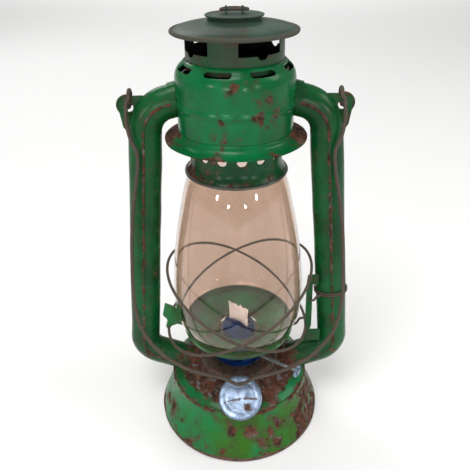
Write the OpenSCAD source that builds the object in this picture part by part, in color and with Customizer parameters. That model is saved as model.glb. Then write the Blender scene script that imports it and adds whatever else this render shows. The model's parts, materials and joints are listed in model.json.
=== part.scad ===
// Hurricane lantern: cold-blast oil lamp with two side tubes, a lifting hood and a wire bail.
// Origin at the centre of the base on the floor, +Z up, -Y towards the filler cap, +X towards the lifter.

/* [Fount] */
// Outer radius of the rolled base rim
base_r = 61.6; // [60.5:0.1:62.5]
// Radius of the seam between the skirt and the fount top
seam_r = 50.8; // [50.2:0.1:51.2]
// Height of the seam above the floor
seam_z = 34.5; // [33.5:0.1:35]
// Sheet thickness of the pressed steel parts
sheet = 0.9; // [0.7:0.1:1]
// Outward tilt of the filler cap from level
filler_tilt = 27; // [24:0.5:29]
// Radius of the filler cap
filler_r = 15.3; // [14:0.1:15.6]

/* [Burner] */
// Radius of the blue burner basket
basket_r = 19.2; // [18.6:0.1:19.6]
// Width of the flat wick
wick_w = 16; // [14:0.5:16.5]
// Thickness of the flat wick
wick_t = 2.4; // [2:0.1:2.6]
// Direction of the wick shaft, clockwise from +X seen from above
shaft_turn = 32; // [30:1:34]
// Height of the wick shaft
shaft_z = 55.5; // [55:0.1:56]

/* [Tubes] */
// Width of the side tubes seen from the front
tube_w = 21.4; // [20.4:0.2:21.6]
// Depth of the side tubes from front to back
tube_d = 17; // [16:0.5:17]
// Outward lean of the tubes from vertical
tube_lean = 4.65; // [4.4:0.05:4.8]
// Distance from the axis to the tube centre at the reference height
tube_x = 58.6; // [58.2:0.1:59]

/* [Drum and hood] */
// Outer radius of the drum wall
drum_r = 37; // [36.6:0.1:37.2]
// Outer radius of the drum brim
brim_r = 45.6; // [44:0.1:46.4]
// Outer radius of the chimney
chimney_r = 29.7; // [29.5:0.1:29.8]
// Outer radius of the canopy rim
canopy_r = 38.6; // [37.5:0.1:39.5]

/* [Wires] */
// Diameter of the bail wire
bail_d = 2.9; // [2.4:0.1:3]
// Diameter of the guard wires
guard_d = 2.2; // [1.8:0.1:2.2]

/* [Hidden] */

$fn = 96;
eps = 0.01;

// Colours
green = "#1f7a45";
olive = "#4a7a2c";
grey_green = "#5f7d69";
rust = "#6d4a36";
steel = "#9fb0c4";
blue = "#1b3d86";
cotton = "#dcd8cc";

// Fount heights and radii
rim_wire_r = 1.6;
rim_wire_z = 1.3;
bottom_z = 6;
seam_wire_r = 1.1;
chamber_r = 30;
chamber_top = 49;
chamber_floor = 27;

// Filler cap centre, on its flat top
filler_pos = [0.6, -44.2, 45.2];
neck_r = 9;
neck_top = -1.7;
sleeve_gap = 0.5;

// Burner heights
basket_top = 57.5;
dome_z = 68;
dome_top = 79.5;
dome_r = 12.8;
wick_top = 91.5;
wick_foot = 14;
spur_r = 3;
shaft_r = 1.1;
shaft_len = 53.5;
knob_r = 4.6;
shaft_offset = wick_t / 2 + spur_r + 0.1;

// Globe plate and globe
plate_r = 40;
plate_rim_top = 80;
globe_t = 1.8;

// Guard rings: two tilted hoops, one inside the other
guard_z = 103;
guard_tilt = 27;
guard_inner_r = 56;
guard_outer_r = 58.5;

// Side tubes, in the X-Z plane
tube_ref_z = 215;
upper_bend_r = 20;
lower_bend_r = 15;
upper_arm_slope = 15;
lower_arm_slope = 20.3;
upper_corner_z = 243;
lower_corner_z = 53.5;
tube_wall = 0.9;

// Drum and hood heights
brim_z = 224.6;
drum_top_z = 274;
crease_z = 247;
collar_r = 29.6;
flue_r = 26.8;
hole_count = 15;
slot_count = 8;
opening_count = 4;
pillar_angle = -13.5;

// Bail: hinge height, and the route of the left half from the eye to the middle
bail_z = 249.3;
ear_x = 66.5;
eye_r = 5.3;
ear_hole_r = 3;
bail_half = [
    [-66.6, -5.3, 249.3], [-67, -6.2, 244], [-67.4, -7.6, 237], [-65.2, -9.9, 226], [-61.8, -11.4, 217],
    [-62.6, -12.2, 205], [-66, -13.9, 187], [-68.8, -17.7, 165], [-70.2, -22.5, 140], [-70.4, -26.8, 118],
    [-67.4, -30.6, 98.4], [-60, -33.8, 84.8], [-49, -36.3, 73.6], [-36, -38.2, 66], [-22, -39.4, 61.4],
    [-11, -40.1, 58.7], [-5, -40.7, 55.5]
];
bail_middle = [0, -41, 53.6];

// A closed lathe profile from an outline, with the sheet laid on its inner side
module lathe_wall(points, thickness) {
    inner = [for (i = [len(points) - 1:-1:0]) points[i] - [thickness, 0]];
    rotate_extrude() polygon(concat(points, inner));
}

// The same for shallow dishes, with the sheet laid below the outline
module lathe_plate(points, thickness) {
    under = [for (i = [len(points) - 1:-1:0]) points[i] - [0, thickness]];
    rotate_extrude() polygon(concat(points, under));
}

module hoop(radius, wire_r, z = 0) {
    translate([0, 0, z])
        rotate_extrude()
            translate([radius, 0])
                circle(wire_r, $fn = 32);
}

module pipe(outer, inner, z0, z1) {
    translate([0, 0, z0])
        difference() {
            cylinder(r = outer, h = z1 - z0);
            translate([0, 0, -1])
                cylinder(r = inner, h = z1 - z0 + 2);
        }
}

// A pie slice from the axis, centred on an angle
module wedge(radius, centre_angle, width, z0, z1) {
    half = width / 2;
    translate([0, 0, z0])
        rotate(centre_angle)
            linear_extrude(z1 - z0)
                polygon([
                    [0, 0], [radius * cos(half), -radius * sin(half)],
                    [radius, 0], [radius * cos(half), radius * sin(half)]
                ]);
}

// Curved route through hand-chosen points
function blend_point(a, b, c, d, t) =
    0.5 * (2 * b + t * (c - a) + t * t * (2 * a - 5 * b + 4 * c - d) + t * t * t * (3 * b - a - 3 * c + d));
function clamped(list, i) = list[max(0, min(len(list) - 1, i))];
function smooth(list, steps) = concat(
    [for (i = [0:len(list) - 2]) for (s = [0:steps - 1])
        blend_point(clamped(list, i - 1), list[i], list[i + 1], clamped(list, i + 2), s / steps)],
    [list[len(list) - 1]]
);
function unit(v) = v / norm(v);
function route_dir(list, i) = unit(clamped(list, i + 1) - clamped(list, i - 1));

// A round wire swept along a route, with flat ends
module wire(route, radius, sides = 8, up = [0.31, 0.2, 0.93]) {
    count = len(route);
    points = [for (i = [0:count - 1])
        let (dir = route_dir(route, i), side = unit(cross(dir, up)), third = cross(dir, side))
            for (k = [0:sides - 1])
                route[i] + radius * (cos(360 * k / sides) * side + sin(360 * k / sides) * third)];
    start_face = [[for (k = [0:sides - 1]) k]];
    end_face = [[for (k = [sides - 1:-1:0]) (count - 1) * sides + k]];
    skin = [for (i = [0:count - 2]) for (k = [0:sides - 1])
        let (n = (k + 1) % sides)
            each [[i * sides + k, (i + 1) * sides + k, i * sides + n],
                  [i * sides + n, (i + 1) * sides + k, (i + 1) * sides + n]]];
    polyhedron(points, concat(start_face, skin, end_face), convexity = 8);
}

// Fount

skirt_profile = [
    [base_r - 0.6, 1.6], [base_r - 1.3, 4], [base_r - 2.5, 7], [base_r - 3.9, 10.5], [base_r - 5.4, 14],
    [base_r - 6.9, 17.5], [base_r - 8.3, 21], [base_r - 9.3, 24.5], [base_r - 10, 28], [base_r - 10.4, 31],
    [seam_r, seam_z - 0.6]
];
dome_profile = [
    [chamber_r, 43.4], [34, 42.3], [38, 41.2], [42, 39.6], [45.5, 37.9], [48.2, 36.2], [seam_r - 0.9, seam_z]
];

module rim_bead() {
    rotate_extrude()
        intersection() {
            translate([base_r - rim_wire_r, rim_wire_z])
                circle(rim_wire_r, $fn = 32);
            translate([base_r - 5, 0])
                square([6, 5]);
        }
}

module base_rim() {
    color(rust) rim_bead();
}

module base_skirt() {
    color(olive)
        difference() {
            lathe_wall(skirt_profile, sheet);
            rim_bead();
            hoop(seam_r - 0.4, seam_wire_r, seam_z);
        }
}

module fount_bottom() {
    color(rust)
        lathe_plate([[0, 8], [42, 8], [52, bottom_z], [base_r - 3.2, bottom_z]], sheet);
}

module fount_seam() {
    color(olive) hoop(seam_r - 0.4, seam_wire_r, seam_z);
}

module at_filler() {
    translate(filler_pos)
        rotate([filler_tilt, 0, 0])
            children();
}

module fount_top() {
    color(green)
        difference() {
            lathe_plate(dome_profile, sheet);
            hoop(seam_r - 0.4, seam_wire_r, seam_z);
            at_filler()
                translate([0, 0, -15])
                    cylinder(r = neck_r, h = 15);
        }
}

module filler_neck() {
    color(steel)
        at_filler() {
            pipe(neck_r, neck_r - 0.8, -9.5, neck_top);
            for (z = [-4.2, -2.8])
                translate([0, 0, z])
                    rotate_extrude()
                        polygon([[neck_r - 0.1, -0.35], [neck_r + 0.3, 0], [neck_r - 0.1, 0.35]]);
        }
}

module filler_cap() {
    sleeve = neck_r + sleeve_gap;
    color(steel)
        at_filler()
            rotate_extrude()
                polygon([
                    [0, -0.9], [sleeve, -0.9], [sleeve, -4.6], [sleeve + 0.8, -4.6], [sleeve + 0.8, -0.9],
                    [filler_r - 0.8, -0.9], [filler_r - 0.8, -3], [filler_r, -3], [filler_r, -0.5],
                    [filler_r - 0.6, 0], [0, 0]
                ]);
}

module filler_gasket() {
    color("#8a6a48")
        at_filler()
            pipe(neck_r + 0.3, neck_r - 3.4, neck_top + 0.05, -0.9);
}

module filler_rivet() {
    color(rust)
        at_filler()
            translate([5, -7.2, 0])
                rotate_extrude()
                    polygon([[0, 0], [1.9, 0], [1.7, 0.5], [1.1, 0.9], [0, 1.05]]);
}

module air_chamber() {
    color(rust)
        difference() {
            union() {
                lathe_wall([[chamber_r, chamber_floor], [chamber_r, chamber_top - 1.6]], sheet);
                lathe_plate([
                    [basket_r, chamber_top], [chamber_r - 1.6, chamber_top], [chamber_r, chamber_top - 1.4]
                ], sheet);
                lathe_plate([[11, chamber_floor + sheet], [chamber_r, chamber_floor + sheet]], sheet);
                pipe(11.8, 11, chamber_floor, basket_top - 3.7);
            }
            tube_solid(-tube_wall);
            mirror([1, 0, 0])
                tube_solid(-tube_wall);
        }
}

// Burner

module at_wick() {
    rotate(-shaft_turn)
        children();
}

module burner_basket() {
    color(blue)
        difference() {
            lathe_wall([
                [basket_r, chamber_top - 2], [basket_r, basket_top - 1.4], [basket_r - 1.4, basket_top],
                [14.6, basket_top + 1.2], [14.2, 64.5], [13.4, dome_z - 0.1]
            ], sheet);
            at_wick()
                translate([0, -shaft_offset, shaft_z])
                    rotate([0, 90, 0])
                        cylinder(r = shaft_r + 0.4, h = 30);
        }
}

module burner_dome() {
    color(blue)
        difference() {
            rotate_extrude()
                polygon([
                    [dome_r + 0.5, dome_z], [dome_r, dome_z + 3.5], [dome_r - 1.6, dome_z + 7],
                    [dome_r - 4.4, dome_z + 9.8], [dome_r - 8, dome_top], [0, dome_top + 0.3],
                    [0, dome_top - 0.6], [dome_r - 8.2, dome_top - 0.9], [dome_r - 5, dome_z + 9],
                    [dome_r - 2.4, dome_z + 6.5], [dome_r - 0.9, dome_z + 3.2], [dome_r - 0.4, dome_z]
                ]);
            at_wick()
                translate([-(wick_w + 3) / 2, -3.4, dome_z + 4])
                    cube([wick_w + 3, 6.8, 20]);
        }
}

module wick_tube() {
    wall = 0.6;
    w = wick_w + 0.6 + 2 * wall;
    t = wick_t + 0.5 + 2 * wall;
    color(steel)
        at_wick()
            difference() {
                translate([-w / 2, -t / 2, 22])
                    cube([w, t, dome_z + 8 - 22]);
                translate([-w / 2 + wall, -t / 2 + wall, 21])
                    cube([w - 2 * wall, t - 2 * wall, 70]);
                translate([0, -shaft_offset, shaft_z])
                    rotate([0, 90, 0])
                        cylinder(r = spur_r + 0.4, h = 40, center = true);
            }
}

module wick() {
    color(cotton)
        at_wick()
            translate([-wick_w / 2, -wick_t / 2, wick_foot])
                cube([wick_w, wick_t, wick_top - wick_foot]);
}

module on_shaft(distance) {
    at_wick()
        translate([distance, -shaft_offset, shaft_z])
            rotate([0, 90, 0])
                children();
}

module wick_shaft() {
    color(steel)
        on_shaft(-8)
            cylinder(r = shaft_r, h = shaft_len + 8);
}

module wick_spurs() {
    color(steel)
        for (x = [-5, 3.4])
            on_shaft(x)
                difference() {
                    union() {
                        cylinder(r = spur_r - 0.9, h = 1.6);
                        for (a = [0:45:315])
                            rotate(a)
                                translate([0, -0.4, 0.4])
                                    cube([spur_r, 0.8, 0.8]);
                    }
                    translate([0, 0, -1])
                        cylinder(r = shaft_r, h = 4);
                }
}

module wick_knob() {
    color(steel)
        on_shaft(shaft_len - 2.6)
            difference() {
                union() {
                    cylinder(r = knob_r, h = 1.4);
                    cylinder(r = 2.2, h = 2.6);
                }
                translate([0, 0, -1])
                    cylinder(r = shaft_r, h = 6);
                for (a = [0:20:340])
                    rotate(a)
                        translate([knob_r + 0.25, 0, -1])
                            cylinder(r = 0.6, h = 6, $fn = 16);
            }
}

// Globe, its plate and the lifting wires

module globe_plate() {
    color(green)
        lathe_plate([
            [15.4, 71.4], [16.6, 71.4], [17.4, 69.6], [26, 70.4], [35.5, 73.6], [37.6, 74.8], [38.9, 75.6]
        ], sheet);
    color(green)
        lathe_wall([[38.9, 74.6], [plate_r - 0.5, 75.6], [plate_r, plate_rim_top]], sheet);
}

// Guide tab towards the left tube, with a lobe that holds the low end of the right guard wire
module globe_plate_tab() {
    color(green)
        rotate([90, 0, 0])
            translate([0, 0, -6.5])
                linear_extrude(13)
                    polygon([
                        [-39.9, 77.2], [-45, 79.2], [-49.6, 77.4], [-50.8, 75.2], [-53.2, 75.2], [-53.8, 77.6],
                        [-52, 82.6], [-55.4, 87.2], [-55.4, 88.6], [-49.6, 85.8], [-43.6, 81.6], [-40.1, 79.4]
                    ]);
}

globe_profile = [
    [38.5, 76], [38.8, 80.2], [41.3, 83], [43.6, 87.5], [45.2, 94], [46.1, 103], [46.1, 112], [45.6, 122],
    [44.4, 136], [42.6, 150], [40.2, 164], [37.4, 178], [34.8, 190], [32.2, 198.2], [30.7, 202], [29.9, 204.6]
];

module globe() {
    color("#e8d8c8", 0.4)
        lathe_wall(globe_profile, globe_t);
}

module guard_ring(radius, tilt) {
    translate([0, 0, guard_z])
        rotate([0, tilt, 0])
            rotate_extrude()
                translate([radius, 0])
                    circle(guard_d / 2, $fn = 32);
}

module guard_ring_left() {
    color(rust) guard_ring(guard_inner_r, guard_tilt);
}

module guard_ring_right() {
    color(rust) guard_ring(guard_outer_r, -guard_tilt);
}

// The lever is a flat pressed bar in front of the right tube's inner side
module lifter_lever() {
    color(green)
        translate([0, -6.6, 0])
            rotate([90, 0, 0])
                linear_extrude(2)
                    polygon([
                        [48.9, 63.5], [60.4, 63.5], [60.6, 73.4], [52.4, 73.4], [53.6, 77.8], [53.2, 114],
                        [57.2, 114.6], [57.2, 122.4], [49.6, 121.6], [48.9, 116]
                    ]);
}

module lifter_link() {
    color(rust)
        wire(smooth([[40.6, -6.2, 76.9], [43, -6.6, 79], [45, -7, 83], [48.3, -7.4, 84]], 4), 0.9);
}

module at_leg(z) {
    x = tube_x + (tube_ref_z - z) * tan(tube_lean);
    translate([x, 0, z])
        rotate([0, -tube_lean, 0])
            children();
}

// A wire keeper round the right tube, with a hook that holds the lever's bar
module lifter_keeper() {
    color(rust) {
        at_leg(104)
            linear_extrude(2)
                difference() {
                    oval(1.5);
                    oval(0.05);
                }
        wire(smooth([[58.6, -6.8, 105], [56, -8.6, 104], [54.3, -10.2, 102], [51.6, -10.4, 101.4]], 4), 0.8);
    }
}

// Side tubes run along the X-Z plane: arm, bend, leg, bend, arm

function leg_point(z) = [tube_x + (tube_ref_z - z) * tan(tube_lean), z];
upper_corner = leg_point(upper_corner_z);
lower_corner = leg_point(lower_corner_z);
upper_turn = 90 - upper_arm_slope - tube_lean;
lower_turn = 90 - lower_arm_slope + tube_lean;
upper_arm_dir = [cos(upper_arm_slope), -sin(upper_arm_slope)];
leg_dir = [sin(tube_lean), -cos(tube_lean)];
lower_arm_dir = [-cos(lower_arm_slope), -sin(lower_arm_slope)];
upper_in = upper_corner - upper_arm_dir * upper_bend_r * tan(upper_turn / 2);
upper_out = upper_corner + leg_dir * upper_bend_r * tan(upper_turn / 2);
lower_in = lower_corner - leg_dir * lower_bend_r * tan(lower_turn / 2);
lower_out = lower_corner + lower_arm_dir * lower_bend_r * tan(lower_turn / 2);
upper_centre = upper_in + upper_bend_r * [upper_arm_dir[1], -upper_arm_dir[0]];
lower_centre = lower_in + lower_bend_r * [leg_dir[1], -leg_dir[0]];
upper_end = upper_in - upper_arm_dir * 14;
lower_end = lower_out + lower_arm_dir * 43;

function on_arc(centre, r, a) = centre + r * [cos(a), sin(a)];

// Each station of the route holds a point and the angle of the section's outward side
upper_angle = 90 - upper_arm_slope;
lower_angle = tube_lean - lower_turn;
bend_steps = 8;
stations = concat(
    [[upper_end, upper_angle]],
    [for (i = [0:bend_steps])
        let (a = upper_angle + (tube_lean - upper_angle) * i / bend_steps)
            [on_arc(upper_centre, upper_bend_r, a), a]],
    [for (i = [0:bend_steps])
        let (a = tube_lean + (lower_angle - tube_lean) * i / bend_steps)
            [on_arc(lower_centre, lower_bend_r, a), a]],
    [[lower_end, lower_angle]]
);
oval_sides = 28;

module oval(grow) {
    polygon([for (k = [0:oval_sides - 1])
        [(tube_w / 2 + grow) * cos(360 * k / oval_sides), (tube_d / 2 + grow) * sin(360 * k / oval_sides)]]);
}

// The oval tube as one solid, grown or shrunk evenly
module tube_solid(grow, route = stations) {
    half_w = tube_w / 2 + grow;
    half_d = tube_d / 2 + grow;
    points = [for (s = route) for (k = [0:oval_sides - 1])
        let (out = half_w * cos(360 * k / oval_sides), side = half_d * sin(360 * k / oval_sides))
            [s[0][0] + out * cos(s[1]), side, s[0][1] + out * sin(s[1])]];
    last = (len(route) - 1) * oval_sides;
    skin = [for (i = [0:len(route) - 2]) for (k = [0:oval_sides - 1])
        let (n = (k + 1) % oval_sides, a = i * oval_sides, b = a + oval_sides)
            [a + k, a + n, b + n, b + k]];
    caps = [[for (k = [oval_sides - 1:-1:0]) k], [for (k = [0:oval_sides - 1]) last + k]];
    polyhedron(points, concat(skin, caps), convexity = 8);
}

// Everything below the outside of the fount top
module fount_space() {
    dome_down = [for (i = [len(dome_profile) - 1:-1:0]) dome_profile[i]];
    rotate_extrude()
        polygon(concat([[0, 0], [seam_r - 0.9, 0]], dome_down, [[0, dome_profile[0][1]]]));
    hoop(seam_r - 0.4, seam_wire_r, seam_z);
}

module drum_space() {
    translate([0, 0, 200])
        cylinder(r = drum_r, h = 90);
}

module tube_shell() {
    difference() {
        tube_solid(0);
        tube_solid(-tube_wall);
        drum_space();
        cylinder(r = chamber_r, h = 90);
        fount_space();
    }
}

module right_tube() {
    color(green) tube_shell();
}

module left_tube() {
    color(green)
        mirror([1, 0, 0])
            tube_shell();
}

// Round lug on the outside of the upper bend, pierced for the bail's eye
module ear_plate() {
    ear_t = 1.2;
    lug_r = 6.7;
    hole = [ear_x, bail_z - eye_r - 0.2];
    lug = hole + [0.6, 1.2];
    outline = concat(
        [for (a = [-35:10:115]) lug + lug_r * [cos(a), sin(a)]],
        [[57, 251.2], [57, 246], [62, 230], [67.4, 226], [71, 231]]
    );
    difference() {
        translate([0, ear_t / 2, 0])
            rotate([90, 0, 0])
                linear_extrude(ear_t)
                    polygon(outline);
        translate([hole[0], ear_t, hole[1]])
            rotate([90, 0, 0])
                cylinder(r = ear_hole_r, h = 2 * ear_t, $fn = 48);
        tube_solid(0);
    }
}

module right_ear() {
    color(green) ear_plate();
}

module left_ear() {
    color(green)
        mirror([1, 0, 0])
            ear_plate();
}

// Solder collars where the tubes leave the drum
module tube_collars() {
    color(grey_green)
        for (side = [0, 1])
            mirror([side, 0, 0])
                difference() {
                    tube_solid(0.9, [
                        [upper_end, upper_angle],
                        [upper_end + upper_arm_dir * 10.2, upper_angle]
                    ]);
                    tube_solid(0);
                    drum_space();
                }
}

// Drum

module drum() {
    color(green)
        difference() {
            union() {
                lathe_wall([
                    [drum_r - 0.2, 230.4], [drum_r - 0.2, crease_z - 1.5], [drum_r, crease_z], [drum_r, 262],
                    [drum_r - 0.7, 266.6]
                ], sheet);
                lathe_plate([
                    [chimney_r + 0.5, drum_top_z], [33.4, 271.6], [35.2, 269.4], [drum_r - 0.7, 266.6 + eps]
                ], sheet);
            }
            for (i = [0:slot_count - 1])
                rotate(28 - 90 + i * 360 / slot_count)
                    intersection() {
                        pipe(35.1, 31.6, 264, 280);
                        wedge(50, 0, 28, 264, 280);
                    }
            tube_solid(-tube_wall);
            mirror([1, 0, 0])
                tube_solid(-tube_wall);
        }
}

module drum_brim() {
    color(green)
        lathe_plate([
            [collar_r + 0.7, brim_z + 1.6], [34, brim_z + 3.4], [drum_r - 1.1, brim_z + 5.7],
            [drum_r - 0.1, brim_z + 5.7], [38, brim_z + 3.4], [40.5, brim_z + 1.7], [brim_r, brim_z + 0.9]
        ], sheet);
}

// Hood: the parts that lift off the globe together

module globe_collar() {
    color(green)
        difference() {
            lathe_wall([
                [32.6, 202.4], [31.2, 204.6], [30.2, 206.8], [collar_r, 209], [collar_r, 224.5], [27.9, 226]
            ], sheet);
            for (i = [0:hole_count - 1])
                rotate(6.7 - 90 + i * 360 / hole_count)
                    translate([collar_r - 4, 0, 217.7])
                        rotate([0, 90, 0])
                            cylinder(r = 3.1, h = 8, $fn = 24);
            hoop(32.6, 1, 202);
        }
}

module collar_bead() {
    color(rust) hoop(32.6, 1, 202);
}

module flue() {
    seat_z = 231;
    color(rust) {
        pipe(flue_r, flue_r - 0.8, 225.2, 270);
        pipe(34.2, flue_r, seat_z, seat_z + 0.8);
    }
}

spring_turns = 5;
spring_bottom = 232.7;
spring_top = 268.3;
module hood_spring() {
    steps = spring_turns * 20;
    color(steel)
        wire([for (i = [0:steps])
            let (a = 360 * spring_turns * i / steps)
                [32.2 * cos(a), 32.2 * sin(a), spring_bottom + (spring_top - spring_bottom) * i / steps]],
            0.8, 6, [0.01, 0, 1]);
}

module chimney() {
    opening_low = 279.6;
    opening_high = 287.4;
    color(grey_green)
        difference() {
            union() {
                pipe(chimney_r, chimney_r - 0.8, 268.8, 291.4);
                pipe(chimney_r - 0.8, flue_r, 268.8, 269.6);
            }
            for (i = [0:opening_count - 1])
                rotate(pillar_angle - 90 + 45 + i * 90) {
                    wedge(50, 0, 56, opening_low, opening_high);
                    translate([20, 0, opening_low])
                        rotate([0, 90, 0])
                            cylinder(r = 2.6, h = 20, $fn = 32);
                }
        }
}

module canopy() {
    color(grey_green)
        difference() {
            lathe_plate([
                [15.4, 296.4], [16.4, 295.6], [26, 294.4], [33, 292.8], [canopy_r - 1.9, 291.2],
                [canopy_r - 1, 290.4]
            ], sheet);
            hoop(canopy_r - 1.3, 1.3, 290.2);
        }
}

module canopy_rim() {
    color(rust) hoop(canopy_r - 1.3, 1.3, 290.2);
}

module crown() {
    color(grey_green)
        rotate_extrude()
            polygon([
                [0, 299], [12.5, 299], [14.5, 298.4], [16.8, 299.2], [17.4, 298.8], [17.2, 298.2],
                [15.4, 297.6], [15.4, 295.6], [14.5, 295.6], [14.5, 297.5], [12.3, 298.1], [0, 298.1]
            ]);
}

module crown_tabs() {
    ring_z = 301.5;
    color(grey_green)
        for (x = [-4.8, 4.8])
            difference() {
                translate([x - 0.6, -2.2, 299])
                    cube([1.2, 4.4, 4.4]);
                translate([x - 3, 0, ring_z])
                    rotate([0, 90, 0])
                        cylinder(r = 0.95, h = 6, $fn = 24);
            }
}

// A wire loop hinged in the tabs, lying flat towards the back
module lift_ring() {
    ring_z = 301.5;
    loop_r = 8;
    color(rust) {
        translate([-loop_r - 0.9, 0, ring_z])
            rotate([0, 90, 0])
                cylinder(r = 0.9, h = 2 * loop_r + 1.8, $fn = 24);
        translate([0, 0, ring_z])
            rotate_extrude(angle = 180)
                translate([loop_r, 0])
                    circle(0.75, $fn = 24);
    }
}

// Bail

module bail() {
    right_half = [for (i = [len(bail_half) - 1:-1:0]) [-bail_half[i][0], bail_half[i][1], bail_half[i][2]]];
    color(rust) {
        wire(smooth(concat(bail_half, [bail_middle], right_half), 3), bail_d / 2, 8);
        for (side = [-1, 1])
            translate([side * ear_x, 0, bail_z])
                rotate([0, 90, 0])
                    rotate_extrude()
                        translate([eye_r, 0])
                            circle(bail_d / 2 - 0.05, $fn = 32);
    }
}

base_skirt();
base_rim();
fount_bottom();
fount_seam();
fount_top();
filler_neck();
filler_cap();
filler_gasket();
filler_rivet();
air_chamber();
burner_basket();
burner_dome();
wick_tube();
wick();
wick_shaft();
wick_spurs();
wick_knob();
globe_plate();
globe_plate_tab();
globe();
guard_ring_left();
guard_ring_right();
lifter_lever();
lifter_link();
lifter_keeper();
left_tube();
right_tube();
left_ear();
right_ear();
tube_collars();
drum();
drum_brim();
globe_collar();
collar_bead();
flue();
hood_spring();
chimney();
canopy();
canopy_rim();
crown();
crown_tabs();
lift_ring();
bail();
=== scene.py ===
"""Hurricane lantern: detailed shells, wires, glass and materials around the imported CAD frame.

Lengths are in millimetres and become metres when a mesh is made. The stage, the lamps and the
camera are placed in metres.
"""

import json
import math
from itertools import pairwise

import bmesh
import bpy
from mathutils import Matrix, Vector, noise


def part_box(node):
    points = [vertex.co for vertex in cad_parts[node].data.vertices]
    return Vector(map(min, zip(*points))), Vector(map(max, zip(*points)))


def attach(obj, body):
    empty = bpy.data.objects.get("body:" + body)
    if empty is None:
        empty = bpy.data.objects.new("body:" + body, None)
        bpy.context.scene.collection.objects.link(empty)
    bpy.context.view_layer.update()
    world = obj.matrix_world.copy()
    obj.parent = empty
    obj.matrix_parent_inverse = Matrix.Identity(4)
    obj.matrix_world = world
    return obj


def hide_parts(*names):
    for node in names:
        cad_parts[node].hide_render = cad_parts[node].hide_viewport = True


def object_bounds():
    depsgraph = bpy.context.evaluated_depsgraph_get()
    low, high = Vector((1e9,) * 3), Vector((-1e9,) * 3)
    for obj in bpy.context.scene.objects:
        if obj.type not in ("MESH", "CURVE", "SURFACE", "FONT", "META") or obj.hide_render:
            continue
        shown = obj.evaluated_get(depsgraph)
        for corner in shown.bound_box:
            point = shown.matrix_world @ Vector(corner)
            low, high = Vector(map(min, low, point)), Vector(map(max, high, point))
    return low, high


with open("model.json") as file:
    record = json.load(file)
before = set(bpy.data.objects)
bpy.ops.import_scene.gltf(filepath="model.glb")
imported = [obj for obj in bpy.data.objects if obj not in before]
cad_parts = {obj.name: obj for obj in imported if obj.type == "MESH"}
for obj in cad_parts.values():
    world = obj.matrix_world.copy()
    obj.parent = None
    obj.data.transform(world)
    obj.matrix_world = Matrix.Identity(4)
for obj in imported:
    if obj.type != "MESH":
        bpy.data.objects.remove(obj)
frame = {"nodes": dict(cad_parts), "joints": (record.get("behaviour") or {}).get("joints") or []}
CAD_LOW, CAD_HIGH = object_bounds()
MM = 0.001
SHEET = 0.9
FRONT = -90


def box_mm(node):
    low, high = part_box(node)
    return low / MM, high / MM


def radius_of(node):
    low, high = box_mm(node)
    return (high.x - low.x) / 2


def centre_of(node):
    low, high = box_mm(node)
    return (low + high) / 2


def joint_place(name):
    """Where a joint stands at rest, in millimetres."""
    joint = next(j for j in frame["joints"] if j["name"] == name)
    return Vector(joint["pos_m"]) / MM


# ---------------------------------------------------------------- shape helpers

UPRIGHT = Matrix.Rotation(math.pi / 2, 4, "X")


def facing(azimuth):
    """Turns what points along +X to a number of degrees round from the front."""
    return Matrix.Rotation(math.radians(azimuth + FRONT), 4, "Z")


def polar(radius, angle):
    return Vector((radius * math.cos(angle), radius * math.sin(angle)))


def smooth_line(points, steps=6):
    """Catmull-Rom curve through the points, in two or three dimensions."""
    points = [Vector(p) for p in points]
    line = []
    for i in range(len(points) - 1):
        a = points[max(i - 1, 0)]
        b, c = points[i], points[i + 1]
        d = points[min(i + 2, len(points) - 1)]
        for s in range(steps):
            t = s / steps
            line.append(
                0.5
                * (
                    2 * b
                    + t * (c - a)
                    + t * t * (2 * a - 5 * b + 4 * c - d)
                    + t**3 * (3 * b - a - 3 * c + d)
                )
            )
    line.append(points[-1])
    return line


def sheet_outline(line, thickness=SHEET, side=1, end_steps=4):
    """Closed outline of a sheet laid along a line of (radius, height), with rounded edges.

    The sheet lies to the left of the line's direction for side 1, and to its right for side -1.
    """
    line = [Vector(p) for p in line]
    normals = []
    for i in range(len(line)):
        along = (line[min(i + 1, len(line) - 1)] - line[max(i - 1, 0)]).normalized()
        normals.append(Vector((-along.y, along.x)) * side)
    half = thickness / 2
    near = list(line)
    far = [p + n * thickness for p, n in zip(line, normals)]

    def cap(i, start):
        middle = line[i] + normals[i] * half
        arm = (start - middle).normalized() * half
        return [
            middle + Matrix.Rotation(-side * math.pi * k / end_steps, 2) @ arm
            for k in range(1, end_steps)
        ]

    last = len(line) - 1
    return near + cap(last, near[-1]) + far[::-1] + cap(0, far[0])


def ring_outline(radius, height, wire_r, steps=16):
    middle = Vector((radius, height))
    return [middle + polar(wire_r, 2 * math.pi * k / steps) for k in range(steps)]


def turned(outline, steps=144, closed=True):
    """Vertices and faces of an outline of (radius, height) turned about the Z axis.

    An open outline starts and ends on the axis.
    """
    rings = []
    vertices, faces = [], []
    for p in outline:
        if p[0] < 1e-6:
            rings.append([len(vertices)] * steps)
            vertices.append(Vector((0, 0, p[1])))
            continue
        rings.append(list(range(len(vertices), len(vertices) + steps)))
        for k in range(steps):
            a = 2 * math.pi * k / steps
            vertices.append(Vector((p[0] * math.cos(a), p[0] * math.sin(a), p[1])))
    pairs = list(pairwise(rings))
    if closed:
        pairs.append((rings[-1], rings[0]))
    for low, high in pairs:
        for k in range(steps):
            n = (k + 1) % steps
            face = [low[k], low[n], high[n], high[k]]
            faces.append([v for i, v in enumerate(face) if v not in face[:i]])
    return vertices, faces


def rod(radius, low, high, steps=32):
    """A solid round bar along the Z axis."""
    return turned([(0, low), (radius, low), (radius, high), (0, high)], steps, closed=False)


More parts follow.
